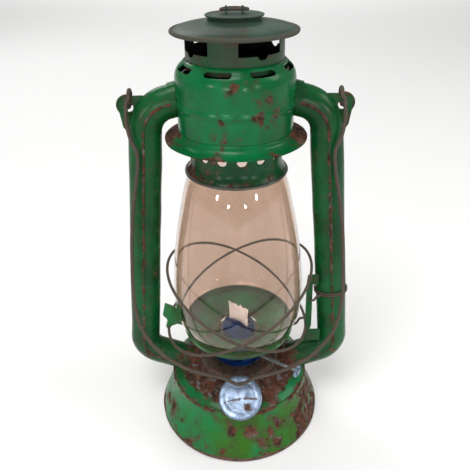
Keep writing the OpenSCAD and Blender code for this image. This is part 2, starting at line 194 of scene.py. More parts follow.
def swept(route, section, closed=False, side_of=None):
    """A closed section of (across, out) swept along a 3-D route.

    side_of gives the outward direction at a route point; without it the section turns as little
    as it can.
    """
    count, sides = len(route), len(section)
    vertices, faces = [], []
    out = None
    for i, p in enumerate(route):
        before = route[i - 1] if i or closed else p
        after = route[(i + 1) % count] if i < count - 1 or closed else p
        along = (after - before).normalized()
        if side_of:
            out = side_of(i)
        elif out is None:
            out = along.orthogonal()
        out = (out - along * out.dot(along)).normalized()
        across = along.cross(out)
        vertices += [p + across * s[0] + out * s[1] for s in section]
    last = count if closed else count - 1
    for i in range(last):
        a, b = i * sides, (i + 1) % count * sides
        for k in range(sides):
            n = (k + 1) % sides
            faces.append([a + k, a + n, b + n, b + k])
    if not closed:
        faces.append(list(range(sides))[::-1])
        faces.append(list(range((count - 1) * sides, count * sides)))
    return vertices, faces


def round_section(radius, sides=12):
    return [polar(radius, 2 * math.pi * k / sides) for k in range(sides)]


def prism(outline, low, high):
    """An upright prism over a plan outline."""
    count = len(outline)
    vertices = [Vector((p[0], p[1], z)) for z in (low, high) for p in outline]
    faces = [list(range(count))[::-1], list(range(count, 2 * count))]
    for k in range(count):
        n = (k + 1) % count
        faces.append([k, n, count + n, count + k])
    return vertices, faces


def joined(*shapes):
    vertices, faces = [], []
    for shape_vertices, shape_faces in shapes:
        start = len(vertices)
        vertices += shape_vertices
        faces += [[start + i for i in f] for f in shape_faces]
    return vertices, faces


def moved(shape, matrix):
    return [matrix @ v for v in shape[0]], shape[1]


def mirrored(shape):
    return [Vector((-v.x, v.y, v.z)) for v in shape[0]], [f[::-1] for f in shape[1]]


def dented(shape, depth, size, seed=0):
    """Moves every vertex sideways by smooth noise, as in worn sheet metal."""
    shift = Vector((seed * 17.3, seed * 5.1, seed * 9.7))
    bumped = []
    for v in shape[0]:
        away = Vector((v.x, v.y, 0))
        direction = away.normalized() if away.length > 1 else Vector((0, 0, 1))
        bumped.append(v + direction * depth * noise.noise(v / size + shift))
    return bumped, shape[1]


def mesh_from(name, shape):
    mesh = bpy.data.meshes.new(name)
    mesh.from_pydata([v * MM for v in shape[0]], [], shape[1])
    mesh.validate()
    return mesh


def cut(mesh, cutters):
    """The mesh with every cutter shape taken out of it."""
    scene = bpy.context.scene
    target = bpy.data.objects.new("cut_target", mesh)
    tool = bpy.data.objects.new("cut_tool", mesh_from("cut_tool", joined(*cutters)))
    for o in (target, tool):
        scene.collection.objects.link(o)
        outward_normals(o.data)
    modifier = target.modifiers.new("cut", "BOOLEAN")
    modifier.operation = "DIFFERENCE"
    modifier.solver = "EXACT"
    modifier.use_self = False
    modifier.object = tool
    depsgraph = bpy.context.evaluated_depsgraph_get()
    result = bpy.data.meshes.new_from_object(target.evaluated_get(depsgraph))
    bpy.data.objects.remove(target)
    bpy.data.objects.remove(tool)
    return result


def outward_normals(mesh):
    bm = bmesh.new()
    bm.from_mesh(mesh)
    bmesh.ops.recalc_face_normals(bm, faces=bm.faces)
    bm.to_mesh(mesh)
    bm.free()


def shade(mesh, crease_angle=38):
    """Smooth shading, with the edges above the crease angle left sharp."""
    bm = bmesh.new()
    bm.from_mesh(mesh)
    bmesh.ops.recalc_face_normals(bm, faces=bm.faces)
    for face in bm.faces:
        face.smooth = True
    limit = math.radians(crease_angle)
    for edge in bm.edges:
        edge.smooth = len(edge.link_faces) != 2 or edge.calc_face_angle(0) < limit
    bm.to_mesh(mesh)
    bm.free()


def store(mesh, name, rule):
    """Stores a number at each vertex, for the shader to add to its noise."""
    values = [rule(v.co / MM) for v in mesh.vertices]
    attribute = mesh.attributes.new(name, "FLOAT", "POINT")
    attribute.data.foreach_set("value", values)


def piece(
    name, shape, material, body, replaces=(), wear_and_painted_reflection=None, tone=None, cutters=(), crease_angle=38
):
    """Makes one visible piece that rides on a CAD body and stands for the named nodes."""
    mesh = mesh_from(name, shape)
    if cutters:
        mesh = cut(mesh, cutters)
        mesh.name = name
    shade(mesh, crease_angle)
    for attribute, rule in (("wear_and_painted_reflection", wear_and_painted_reflection), ("tone", tone)):
        if rule:
            store(mesh, attribute, rule)
    mesh.materials.clear()
    mesh.materials.append(material)
    made = bpy.data.objects.new(name, mesh)
    bpy.context.scene.collection.objects.link(made)
    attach(made, body)
    if replaces:
        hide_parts(*replaces)
    return made


# ---------------------------------------------------------------- wear masks


def spot(p, azimuth, height, size):
    """1 at the middle of a round patch on a turned shell, 0 outside it."""
    angle = math.radians(azimuth + FRONT)
    radius = math.hypot(p.x, p.y)
    turn = math.atan2(p.y, p.x) - angle
    turn = (turn + math.pi) % (2 * math.pi) - math.pi
    return max(0, 1 - math.hypot(turn * radius, p.z - height) / size)


def band(value, middle, width):
    return max(0, 1 - abs(value - middle) / width)


def azimuth_of(p):
    """Degrees round from the front, positive towards +X."""
    return math.degrees(math.atan2(p.x, -p.y))


def ramp(value, low, high):
    return min(1, max(0, (value - low) / (high - low)))


# ---------------------------------------------------------------- materials


class Shader:
    """One Principled material, with short calls for the nodes that feed it."""

    def __init__(self, name):
        self.material = bpy.data.materials.new(name)
        self.material.use_nodes = True
        self.tree = self.material.node_tree
        self.tree.nodes.clear()
        self.surface = self.node("ShaderNodeBsdfPrincipled")
        output = self.node("ShaderNodeOutputMaterial")
        self.tree.links.new(self.surface.outputs[0], output.inputs["Surface"])
        self.place = self.node("ShaderNodeTexCoord").outputs["Object"]

    def node(self, kind, **settings):
        made = self.tree.nodes.new(kind)
        for key, value in settings.items():
            setattr(made, key, value)
        return made

    def feed(self, socket, value):
        if isinstance(value, bpy.types.NodeSocket):
            self.tree.links.new(value, socket)
        elif isinstance(value, tuple) and len(value) == 3:
            socket.default_value = (*value, 1) if socket.type == "RGBA" else value
        else:
            socket.default_value = value

    def stretched(self, scale):
        mapping = self.node("ShaderNodeMapping")
        self.feed(mapping.inputs["Vector"], self.place)
        self.feed(mapping.inputs["Scale"], scale)
        return mapping.outputs[0]

    def noise(self, size, detail=5, roughness=0.55, stretch=None, seed=0, distortion=0):
        """Noise from 0 to 1 with features of the given size in millimetres."""
        made = self.node("ShaderNodeTexNoise", noise_dimensions="4D")
        self.feed(made.inputs["Vector"], self.stretched(stretch) if stretch else self.place)
        self.feed(made.inputs["W"], seed * 3.7)
        self.feed(made.inputs["Scale"], 1 / (size * MM))
        self.feed(made.inputs["Detail"], detail)
        self.feed(made.inputs["Roughness"], roughness)
        self.feed(made.inputs["Distortion"], distortion)
        return made.outputs["Fac"]

    def cells(self, size, stretch=None):
        made = self.node("ShaderNodeTexVoronoi", feature="DISTANCE_TO_EDGE")
        self.feed(made.inputs["Vector"], self.stretched(stretch) if stretch else self.place)
        self.feed(made.inputs["Scale"], 1 / (size * MM))
        return made.outputs["Distance"]

    def step(self, value, low, high):
        made = self.node("ShaderNodeMapRange", interpolation_type="SMOOTHSTEP")
        self.feed(made.inputs["Value"], value)
        self.feed(made.inputs["From Min"], low)
        self.feed(made.inputs["From Max"], high)
        return made.outputs[0]

    def math(self, operation, a, b=0.0):
        made = self.node("ShaderNodeMath", operation=operation)
        self.feed(made.inputs[0], a)
        self.feed(made.inputs[1], b)
        return made.outputs[0]

    def mix(self, factor, a, b):
        made = self.node("ShaderNodeMix", data_type="RGBA")
        self.feed(made.inputs["Factor"], factor)
        self.feed(made.inputs[6], a)
        self.feed(made.inputs[7], b)
        return made.outputs[2]

    def between(self, factor, a, b):
        """A number that goes from a to b with the factor."""
        made = self.node("ShaderNodeMix", data_type="FLOAT")
        self.feed(made.inputs["Factor"], factor)
        self.feed(made.inputs[2], a)
        self.feed(made.inputs[3], b)
        return made.outputs[0]

    def stored(self, name):
        return self.node("ShaderNodeAttribute", attribute_name=name).outputs["Fac"]

    def outside(self, radius, width=0.4):
        """1 outside a radius about the Z axis, 0 inside it."""
        flat = self.stretched((1.0, 1.0, 0.0))
        length = self.node("ShaderNodeVectorMath", operation="LENGTH")
        self.feed(length.inputs[0], flat)
        return self.step(length.outputs["Value"], (radius - width / 2) * MM, (radius + width / 2) * MM)

    def bump(self, height, depth):
        """Bump whose height of 1 stands for the given depth in millimetres."""
        made = self.node("ShaderNodeBump")
        self.feed(made.inputs["Distance"], depth * MM)
        self.feed(made.inputs["Height"], height)
        if self.surface.inputs["Normal"].is_linked:
            self.feed(made.inputs["Normal"], self.surface.inputs["Normal"].links[0].from_socket)
        self.feed(self.surface.inputs["Normal"], made.outputs[0])

    def finish(self, color, roughness, metallic=0.0):
        self.feed(self.surface.inputs["Base Color"], color)
        self.feed(self.surface.inputs["Roughness"], roughness)
        self.feed(self.surface.inputs["Metallic"], metallic)
        return self.material


RUST_DARK = (0.030, 0.017, 0.010)
RUST_RED = (0.115, 0.040, 0.024)
RUST_DUSTY = (0.125, 0.092, 0.075)
BARE_STEEL = (0.24, 0.235, 0.24)
SOOT = (0.006, 0.006, 0.006)
STAINED = (0.045, 0.040, 0.018)


def rust_color(s, seed=0):
    color = s.mix(s.step(s.noise(3.2, seed=seed), 0.38, 0.62), RUST_DARK, RUST_RED)
    return s.mix(s.step(s.noise(7, seed=seed + 1), 0.5, 0.72), color, RUST_DUSTY)


def enamel(name, fresh, deep, chipping=0.3, bare=0.0, gloss=0.24, flake=9, soot_inside=None, seed=0):
    """Enamel over rust: chips where the noise and the stored wear add up, bare steel in some of them."""
    s = Shader(name)
    tone = s.math("ADD", s.noise(26, detail=3, seed=seed), s.stored("tone"))
    paint = s.mix(s.step(tone, 0.36, 0.64), deep, fresh)
    streaks = s.step(s.noise(3, stretch=(1.0, 1.0, 0.12), seed=seed + 2), 0.5, 0.75)
    dull = tuple(0.55 * c + 0.02 for c in deep)
    paint = s.mix(s.math("MULTIPLY", streaks, 0.5), paint, dull)
    flakes = s.noise(flake, detail=9, roughness=0.66, distortion=0.3, seed=seed + 4)
    worn = s.math("ADD", flakes, s.stored("wear_and_painted_reflection"))
    edge = 0.94 - chipping
    chipped = s.step(worn, edge, edge + 0.018)
    stained = s.math("MULTIPLY", s.step(worn, edge - 0.13, edge + 0.01), 0.55)
    rust = rust_color(s, seed)
    bare_edge = 0.62 - bare * 0.7
    steel_patch = s.step(s.noise(4, detail=7, roughness=0.7, seed=seed + 6), bare_edge, bare_edge + 0.04)
    steel_patch = s.math("MULTIPLY", steel_patch, chipped)
    color = s.mix(stained, paint, STAINED)
    color = s.mix(chipped, color, rust)
    color = s.mix(steel_patch, color, BARE_STEEL)
    grain = s.noise(0.9, detail=6, seed=seed + 8)
    rough_paint = s.math("MULTIPLY_ADD", s.noise(12, seed=seed + 9), 0.22)
    rough_paint.node.inputs[2].default_value = gloss - 0.08
    roughness = s.between(chipped, rough_paint, s.step(grain, -0.6, 0.75))
    if soot_inside is not None:
        outer = s.outside(soot_inside)
        color = s.mix(outer, SOOT, color)
        roughness = s.between(outer, 0.9, roughness)
    s.bump(s.noise(16, detail=2, seed=seed + 5), 0.55)
    s.bump(s.noise(1.6, detail=3, seed=seed + 7), 0.035)
    s.bump(chipped, -0.16)
    s.bump(s.math("MULTIPLY", grain, chipped), 0.35)
    s.feed(s.surface.inputs["Specular IOR Level"], 0.2)
    return s.finish(color, roughness, s.math("MULTIPLY", steel_patch, 0.85))


def rusted(name, shine=0.0, tint=(0.075, 0.05, 0.035), red=0.5, seed=0, grain_depth=0.3):
    """Bare steel gone brown, with red rust over a share of it and worn brighter places."""
    s = Shader(name)
    patches = s.step(s.noise(5, detail=6, seed=seed), 0.9 - red, 1.1 - red)
    color = s.mix(patches, tint, rust_color(s, seed + 2))
    worn = s.step(s.noise(3, detail=8, roughness=0.7, seed=seed + 4), 0.62 - shine, 0.7 - shine)
    color = s.mix(s.math("MULTIPLY", worn, 0.5), color, (0.2, 0.18, 0.16))
    grain = s.noise(0.8, detail=6, seed=seed + 5)
    roughness = s.between(worn, 0.78, 0.42)
    s.bump(grain, grain_depth)
    s.bump(s.noise(6, detail=3, seed=seed + 6), 0.25)
    return s.finish(color, roughness, s.math("MULTIPLY", worn, 0.7))


def plated(name, color, seed=0, scratch=0.5):
    """Zinc-plated steel: soft tarnish, fine scratches in two directions."""
    s = Shader(name)
    tarnish = s.step(s.noise(6, detail=7, roughness=0.65, seed=seed), 0.42, 0.66)
    dark = tuple(0.45 * c for c in color)
    tone = s.mix(s.math("MULTIPLY", tarnish, 0.75), color, dark)
    lines = s.noise(0.8, stretch=(1.0, 0.06, 0.3), seed=seed + 2)
    crossing = s.noise(0.7, stretch=(0.08, 1.0, 1.0), seed=seed + 3)
    scratches = s.math("MULTIPLY", s.step(s.math("MAXIMUM", lines, crossing), 0.66, 0.72), scratch)
    tone = s.mix(scratches, tone, (0.8, 0.85, 0.92))
    # Dark brown where the noise and the stored number add up: rubbed rusty spots, and on the filler cap also
    # a painted reflection of the bail wire.
    worn = s.step(s.math("ADD", s.noise(2.4, detail=6, seed=seed + 6), s.stored("wear_and_painted_reflection")), 0.66, 0.72)
    tone = s.mix(worn, tone, (0.085, 0.065, 0.06))
    roughness = s.between(tarnish, 0.34, 0.5)
    s.bump(s.noise(7, detail=3, seed=seed + 4), 0.3)
    s.bump(s.math("MAXIMUM", lines, crossing), 0.03)
    metallic = s.math("SUBTRACT", 0.8, s.math("MULTIPLY", worn, 0.6))
    return s.finish(tone, roughness, metallic)


def lacquered(name):
    """Blue lacquer over bright steel, rubbed through in small places."""
    s = Shader(name)
    tone = s.mix(s.step(s.noise(7, seed=3), 0.4, 0.62), (0.001, 0.008, 0.045), (0.003, 0.034, 0.15))
    rubbed = s.step(s.noise(2.2, detail=8, roughness=0.7, seed=5), 0.66, 0.7)
    color = s.mix(rubbed, tone, (0.05, 0.07, 0.10))
    color = s.mix(s.step(s.noise(9, detail=6, seed=8), 0.62, 0.7), color, RUST_RED)
    s.bump(s.noise(2.5, detail=4, seed=6), 0.12)
    s.bump(rubbed, -0.05)
    s.feed(s.surface.inputs["Specular IOR Level"], 0.3)
    return s.finish(color, s.between(rubbed, 0.2, 0.5), 0.2)


def glass(name):
    """Clear globe glass, a little smoky, with drawn waves from the mould and light smears."""
    s = Shader(name)
    s.feed(s.surface.inputs["Transmission Weight"], 1.0)
    s.feed(s.surface.inputs["IOR"], 1.46)
    smear = s.step(s.noise(18, detail=6, stretch=(1.0, 1.0, 0.35), seed=2), 0.45, 0.8)
    color = s.mix(smear, (0.735, 0.60, 0.515), (0.66, 0.525, 0.43))
    s.bump(s.noise(22, detail=2, stretch=(1.0, 1.0, 0.3), seed=4), 0.12)
    return s.finish(color, s.between(smear, 0.01, 0.045))


def cotton(name):
    """Woven wick: yarns along the strip, a cross weave, and a scorched top."""
    s = Shader(name)
    fibre = s.noise(0.35, detail=6, stretch=(1.0, 1.0, 0.25), seed=1)
    tone = s.mix(s.step(fibre, 0.35, 0.7), (0.72, 0.72, 0.74), (0.94, 0.95, 0.98))
    scorched = s.step(s.math("ADD", s.noise(3, seed=3), s.stored("wear_and_painted_reflection")), 0.72, 1.0)
    tone = s.mix(s.math("MULTIPLY", scorched, 0.35), tone, (0.20, 0.18, 0.17))
    s.bump(fibre, 0.25)
    s.feed(s.surface.inputs["Sheen Weight"], 0.3)
    return s.finish(tone, 0.92)


def cork(name):
    s = Shader(name)
    grains = s.step(s.cells(1.1), 0.02, 0.16)
    tone = s.mix(grains, (0.09, 0.05, 0.03), (0.36, 0.23, 0.13))
    s.bump(grains, 0.2)
    return s.finish(tone, 0.85)


drum_paint = enamel(
    "drum_enamel", (0.001, 0.135, 0.040), (0.001, 0.085, 0.022), chipping=0.25, gloss=0.2, flake=6, seed=1
)
tube_paint = enamel(
    "tube_enamel", (0.002, 0.085, 0.020), (0.002, 0.045, 0.010), chipping=0.28, bare=0.05, flake=7, seed=2
)
collar_paint = enamel("collar_enamel", (0.001, 0.075, 0.020), (0.001, 0.045, 0.012), flake=7, seed=3)
plate_paint = enamel("plate_enamel", (0.012, 0.155, 0.040), (0.028, 0.062, 0.024), flake=6, seed=4)
skirt_paint = enamel(
    "skirt_enamel", (0.003, 0.165, 0.040), (0.026, 0.118, 0.004), chipping=0.35, bare=0.04, flake=11, seed=5
)
fount_paint = enamel(
    "fount_enamel", (0.003, 0.160, 0.048), (0.008, 0.085, 0.016), chipping=0.28, bare=0.1, flake=5, seed=6
)
canopy_paint = enamel(
    "canopy_enamel", (0.030, 0.066, 0.043), (0.023, 0.042, 0.029), chipping=0.27, gloss=0.42, seed=7
)
CHIMNEY_R = radius_of("chimney")
chimney_paint = enamel(
    "chimney_enamel", (0.008, 0.080, 0.026), (0.032, 0.050, 0.027), gloss=0.36,
    soot_inside=CHIMNEY_R - 0.45, seed=8,
)
rusty_steel = rusted("rusty_steel", seed=1)
rusty_rim = rusted("rusty_rim", tint=(0.09, 0.052, 0.034), seed=3)
rusty_wire = rusted("rusty_wire", shine=0.05, tint=(0.058, 0.043, 0.030), red=0.36, seed=5, grain_depth=0.14)
sooty_steel = rusted("sooty_steel", tint=(0.008, 0.007, 0.007), red=0.2, seed=7)
zinc = plated("zinc_plate", (0.24, 0.31, 0.43), seed=1)
bright_steel = plated("bright_steel", (0.30, 0.32, 0.33), seed=4, scratch=0.8)
worn_bead = plated("worn_bead", (0.105, 0.115, 0.095), seed=6, scratch=0.6)
blue_lacquer = lacquered("blue_lacquer")
globe_glass = glass("globe_glass")
wick_cotton = cotton("wick_cotton")
gasket_cork = cork("gasket_cork")

# ---------------------------------------------------------------- base and fount

BASE_R = radius_of("base_skirt") + 0.6
SEAM_R = radius_of("fount_seam") - 0.7
SEAM_Z = centre_of("fount_seam").z
RIM_WIRE_R, SEAM_WIRE_R = 1.4, 1.1
CHAMBER_R = radius_of("air_chamber")


def fount_line():
    """Outside of the fount top, from the air chamber down to the seam."""
    outer = [(42, 39.6), (45.5, 37.9), (48.2, 36.2), (SEAM_R - 0.9, SEAM_Z)]
    return smooth_line([(CHAMBER_R, 43.4), (34, 42.3), (38, 41.2)] + outer)


def skirt_line():
    """Outside of the skirt: a flared foot that runs up into a nearly upright wall below the seam."""
    return smooth_line(
        [
            (BASE_R - 0.6, 1.6), (BASE_R - 1.3, 4), (BASE_R - 2.5, 7), (BASE_R - 3.9, 10.5),
            (BASE_R - 5.4, 14), (BASE_R - 6.9, 17.5), (BASE_R - 8.3, 21), (BASE_R - 9.3, 24.5),
            (BASE_R - 10, 28), (BASE_R - 10.4, 31), (SEAM_R, SEAM_Z - 0.6),
        ]
    )


def skirt_wear(p):
    sides = ramp(azimuth_of(p), 36, 66) + 0.5 * ramp(-azimuth_of(p), 60, 78)
    low = ramp(p.z, 8, 2)
    patches = [
        (8, 21, 10), (24, 20, 8), (-6, 22, 6), (-40, 5, 11), (-12, 8, 7), (14, 9, 12), (28, 8, 8),
        (-64, 14, 10), (54, 10, 16), (170, 12, 20), (120, 20, 14),
    ]
    return 0.12 * sides + 0.05 * low + 0.13 * max(spot(p, *q) for q in patches)


def skirt_tone(p):
    """Bluer green on the front left, yellower towards the right and the back."""
    return 0.3 * ramp(azimuth_of(p), -8, -26) - 0.12 + 0.35 * spot(p, 14, 6, 11)


def fount_wear(p):
    radius = math.hypot(p.x, p.y)
    inner = ramp(radius, 47, 41.5)
    rim = band(radius, 50, 2.5)
    return 0.36 * inner + 0.1 * rim + 0.18 * spot(p, 30, 38, 11) + 0.1 * spot(p, -24, 37, 8)


def flaked(shape, depth, size):
    """Lifts and sinks the upper skin, as scale on old steel does."""
    return [v + Vector((0, 0, depth * noise.noise(v / size))) for v in shape[0]], shape[1]


piece(
    "skirt_shell", dented(turned(sheet_outline(skirt_line())), 0.5, 17, seed=1), skirt_paint, "frame",
    ["base_skirt"], skirt_wear, skirt_tone,
)
piece(
    "rolled_rim",
    dented(turned(ring_outline(BASE_R - 1.6, RIM_WIRE_R + 0.05, RIM_WIRE_R)), 0.35, 14, seed=2),
    rusty_rim, "frame", ["base_rim"],
)
FILLER_TILT = math.radians(27)
AT_FILLER = Matrix.Translation(joint_place("cap_turn")) @ Matrix.Rotation(FILLER_TILT, 4, "X")
NECK_R = 8.9
neck_hole = moved(rod(NECK_R, -14, 2, 48), AT_FILLER)
piece(
    "fount_dome", flaked(turned(sheet_outline(fount_line(), side=1)), 0.4, 3.5), fount_paint, "frame",
    ["fount_top"], fount_wear, cutters=[neck_hole],
)
piece(
    "seam_roll", dented(turned(ring_outline(SEAM_R - 0.4, SEAM_Z, SEAM_WIRE_R)), 0.3, 9, seed=3),
    skirt_paint, "frame", ["fount_seam"],
    lambda p: 0.1 + 0.12 * ramp(abs(azimuth_of(p)), 30, 80),
)

# ---------------------------------------------------------------- filler cap

CAP_R = 15.3
SLEEVE_R = 10.3
RIVET_AT = (5, -7.2, 0)


def cap_outline():
    """Pressed cap in its own axis: face, one shallow step, rolled edge and the threaded sleeve."""
    face = [(0.6 * k, 0.0) for k in range(17)]
    return face + [
        (10.2, -0.12), (10.9, -0.12), (11.5, 0.0), (CAP_R - 1.1, -0.02), (CAP_R - 0.45, -0.22),
        (CAP_R - 0.1, -0.6), (CAP_R, -1.1), (CAP_R, -2.6), (CAP_R - 0.15, -2.95), (CAP_R - 0.65, -2.95),
        (CAP_R - 0.8, -2.6), (CAP_R - 0.8, -0.9), (SLEEVE_R, -0.9), (SLEEVE_R, -4.6),
        (SLEEVE_R - 0.8, -4.6), (SLEEVE_R - 0.8, -0.9), (0, -0.9),
    ]


def cap_wear_and_painted_reflection(p):
    """A dark line across the face, a painted reflection of the bail wire, and a ring of rust round the rivet.
    """
    q = AT_FILLER.inverted() @ p
    # Painted reflection: a dark curved band across the cap's face, where the bail wire would show in the
    # shiny zinc.
    line = band(q.y, -1.4 + 0.1 * q.x - 0.010 * q.x * q.x, 1.7) * ramp(abs(q.x), 13.5, 11)
    rivet = ramp(math.hypot(q.x - RIVET_AT[0], q.y - RIVET_AT[1]), 4.2, 2)
    return 0.32 * line + 0.2 * rivet + 0.1 * ramp(q.z, -1.5, -3)


cap_shape = turned(cap_outline(), 120, closed=False)
cap_shape = (
    [v + Vector((0, 0, 0.16 * noise.noise(v / 6) if v.z > -0.5 else 0)) for v in cap_shape[0]],
    cap_shape[1],
)
piece("pressed_cap", moved(cap_shape, AT_FILLER), zinc, "filler_cap", ["filler_cap"], cap_wear_and_painted_reflection)
rivet_outline = [(0, 1.05), (0.6, 1.0), (1.2, 0.8), (1.7, 0.45), (1.9, 0.05), (1.9, -0.1), (0, -0.1)]
piece(
    "cap_rivet",
    moved(turned(rivet_outline, 32, closed=False), AT_FILLER @ Matrix.Translation(RIVET_AT)), rusty_rim,
    "filler_cap", ["filler_rivet"],
)

# ---------------------------------------------------------------- side tubes

TUBE_LEAN = math.radians(4.65)
TUBE_HALF = (10.7, 8.5)
TUBE_SIDES = 48
TUBE_X, TUBE_X_AT_Z = 58.6, 215


def leg_x(z):
    """Distance of the tube's centre line from the axis at a height on the leg."""
    return TUBE_X + (TUBE_X_AT_Z - z) * math.tan(TUBE_LEAN)


def tube_route(bend_steps=14, leg_steps=26, arm_steps=8):
    """Centre line of the right tube and its outward direction, from the drum round to the fount."""
    upper_slope, lower_slope = math.radians(15), math.radians(20.3)
    upper_r, lower_r = 20, 15
    upper_z, lower_z = 243, 53.5
    upper_reach, lower_reach = 12, 36
    upper_corner = Vector((leg_x(upper_z), 0, upper_z))
    lower_corner = Vector((leg_x(lower_z), 0, lower_z))
    leg = Vector((math.sin(TUBE_LEAN), 0, -math.cos(TUBE_LEAN)))
    upper_arm = Vector((math.cos(upper_slope), 0, -math.sin(upper_slope)))
    lower_arm = Vector((-math.cos(lower_slope), 0, -math.sin(lower_slope)))
    upper_turn = math.pi / 2 - upper_slope - TUBE_LEAN
    lower_turn = math.pi / 2 - lower_slope + TUBE_LEAN
    route = []

    def bend(corner, before, after, turn, radius):
        start = corner - before * radius * math.tan(turn / 2)
        inward = (after - before * before.dot(after)).normalized()
        centre = start + inward * radius
        for k in range(bend_steps + 1):
            a = turn * k / bend_steps
            out = -inward * math.cos(a) + before * math.sin(a)
            route.append((centre + out * radius, out))

    bend(upper_corner, upper_arm, leg, upper_turn, upper_r)
    first = route[0]
    route.insert(0, (first[0] - upper_arm * upper_reach, first[1]))
    top = route[-1]
    bottom_start = lower_corner - leg * lower_r * math.tan(lower_turn / 2)
    for k in range(1, leg_steps):
        route.append((top[0].lerp(bottom_start, k / leg_steps), top[1]))
    bend(lower_corner, leg, lower_arm, lower_turn, lower_r)
    last = route[-1]
    for k in range(1, arm_steps + 1):
        route.append((last[0] + lower_arm * k * lower_reach / arm_steps, last[1]))
    return route


def tube_section():
    """Oval, longer in the plane of the two tubes."""
    turn = 2 * math.pi / TUBE_SIDES
    angles = [turn * k for k in range(TUBE_SIDES)]
    return [(TUBE_HALF[1] * math.sin(a), TUBE_HALF[0] * math.cos(a)) for a in angles]


def tube_shape():
    route = tube_route()
    return swept([r[0] for r in route], tube_section(), side_of=lambda i: route[i][1])


def tube_seam(front):
    """The folded seam that runs down the middle of the tube's front or back."""
    route = tube_route()
    right_half = [(0.9, -0.4), (0.9, 0.15), (0.5, 0.55)]
    section = right_half + [(-across, out) for across, out in reversed(right_half)]
    side = Vector((0, -1 if front else 1, 0))
    line = [r[0] + side * TUBE_HALF[1] for r in route]
    return swept(line, section, side_of=lambda i: side)


def tube_wear(p):
    front = band(abs(p.x) - leg_x(min(max(p.z, 70), 225)), -1, 4) * (p.y < 0)
    low = ramp(p.z, 62, 42)
    at_drum = ramp(abs(p.x), 44, 37) * (p.z > 200)
    at_fount = ramp(abs(p.x), 52, 38) * (p.z < 80)
    under = ramp(p.z, 80, 60) * ramp(abs(p.x), 62, 74)
    return 0.07 * front + 0.05 * low + 0.08 * at_drum + 0.16 * at_fount + 0.06 * under


SIDES = (("left", mirrored), ("right", lambda shape: shape))
for seed, (side, placed) in enumerate(SIDES, 4):
    name = side + "_tube"
    tube = dented(placed(tube_shape()), 0.5, 21, seed=seed)
    piece(name + "_shell", tube, tube_paint, "frame", [name], tube_wear)
    seams = dented(placed(joined(tube_seam(True), tube_seam(False))), 0.5, 21, seed=seed)
    piece(name + "_seams", seams, tube_paint, "frame", wear_and_painted_reflection=lambda p: 0.19)

# ---------------------------------------------------------------- ears

BAIL_Z = joint_place("bail_swing").z
EYE_R = 5.3
EAR_HOLE, EAR_HOLE_R = Vector((66.5, BAIL_Z - EYE_R - 0.2)), 3
EAR_MIDDLE, EAR_R = EAR_HOLE + Vector((0.6, 1.2)), 6.7
HEM_R, HEM_WIRE_R = 6.2, 0.95


def ear_shape():
    """A pressed lug: a round top, and straight edges down into the tube's bend."""
    arc = [EAR_MIDDLE + polar(EAR_R, math.radians(a)) for a in range(-35, 116, 10)]
    foot = [Vector(q) for q in ((57, 251.2), (57, 246), (62, 230), (67.4, 226), (71, 231))]
    return moved(prism(arc + foot, -0.6, 0.6), UPRIGHT)


ear_hole = moved(
    prism(round_section(EAR_HOLE_R, 24), -3, 3),
    Matrix.Translation((EAR_HOLE.x, 0, EAR_HOLE.y)) @ UPRIGHT,
)
hem_points = [EAR_MIDDLE + polar(HEM_R, math.radians(a)) for a in range(-40, 126, 8)]
ear_hem = swept([Vector((q.x, 0, q.y)) for q in hem_points], round_section(HEM_WIRE_R, 10))
for side, placed in SIDES:
    name = side + "_ear"
    lug, hole = placed(ear_shape()), placed(ear_hole)
    piece(
        name + "_lug", lug, tube_paint, "frame", [name], lambda p: 0.08, cutters=[hole]
    )
    piece(name + "_hem", placed(ear_hem), tube_paint, "frame", wear_and_painted_reflection=lambda p: 0.14)

# ---------------------------------------------------------------- drum and brim

DRUM_R = radius_of("drum")
COLLAR_R = 29.6
BRIM_R = radius_of("drum_brim")
BRIM_Z = 224.6


def arc_slot(inner, outer, middle, width, low, high, steps=12):
    """Cutter for a curved slot with round ends, on a turned shell."""
    end_r = (outer - inner) / 2
    mean = (outer + inner) / 2
    half = math.radians(width / 2) - end_r / mean
    angles = [half * (2 * k / steps - 1) for k in range(steps + 1)]
    outline = [polar(outer, a) for a in angles]
    for sign, start in ((1, 0), (-1, math.pi)):
        if sign < 0:
            outline += [polar(inner, a) for a in reversed(angles)]
        tip = polar(mean, sign * half)
        outline += [tip + polar(end_r, start + half * sign + math.pi * k / 8) for k in range(1, 8)]
    return moved(prism(outline, low, high), facing(middle))


LOWER_R = DRUM_R - 0.8
drum_line = smooth_line([(LOWER_R, 230.4), (LOWER_R, 236), (LOWER_R, 244.2)], 6)
drum_line += smooth_line(
    [(LOWER_R + 0.3, 245.2), (DRUM_R - 0.1, 246.2), (DRUM_R + 0.25, 247.4), (DRUM_R, 248.8)], 4
)
drum_line += smooth_line([(DRUM_R - 0.25, 250.2), (DRUM_R - 0.1, 253), (DRUM_R, 257), (DRUM_R, 262)], 4)
drum_line += smooth_line(
    [
        (DRUM_R - 0.2, 264.6), (DRUM_R - 0.8, 267), (DRUM_R - 2, 269.4), (DRUM_R - 3.8, 271.4),
        (CHIMNEY_R + 1.6, 273.4), (CHIMNEY_R + 0.5, 274),
    ],
    5,
)
drum_slots = [
    arc_slot(inner=31.6, outer=35.1, middle=28 + 45 * i, width=28, low=264, high=280) for i in range(8)
]
DRUM_PATCHES = [
    (-2, 262, 6), (10, 264, 5), (22, 257, 7), (30, 259, 7), (34, 254, 6), (24, 245, 8), (34, 243, 8),
    (-20, 237, 6), (-12, 235, 6), (-14, 244, 4), (2, 233, 4), (38, 250, 5), (140, 255, 9),
    (205, 240, 10),
]


def drum_wear(p):
    crease = 0.05 * band(p.z, 246.5, 2) + 0.05 * band(p.z, 268, 3)
    return crease + 0.19 * max(spot(p, *q) ** 0.6 for q in DRUM_PATCHES)


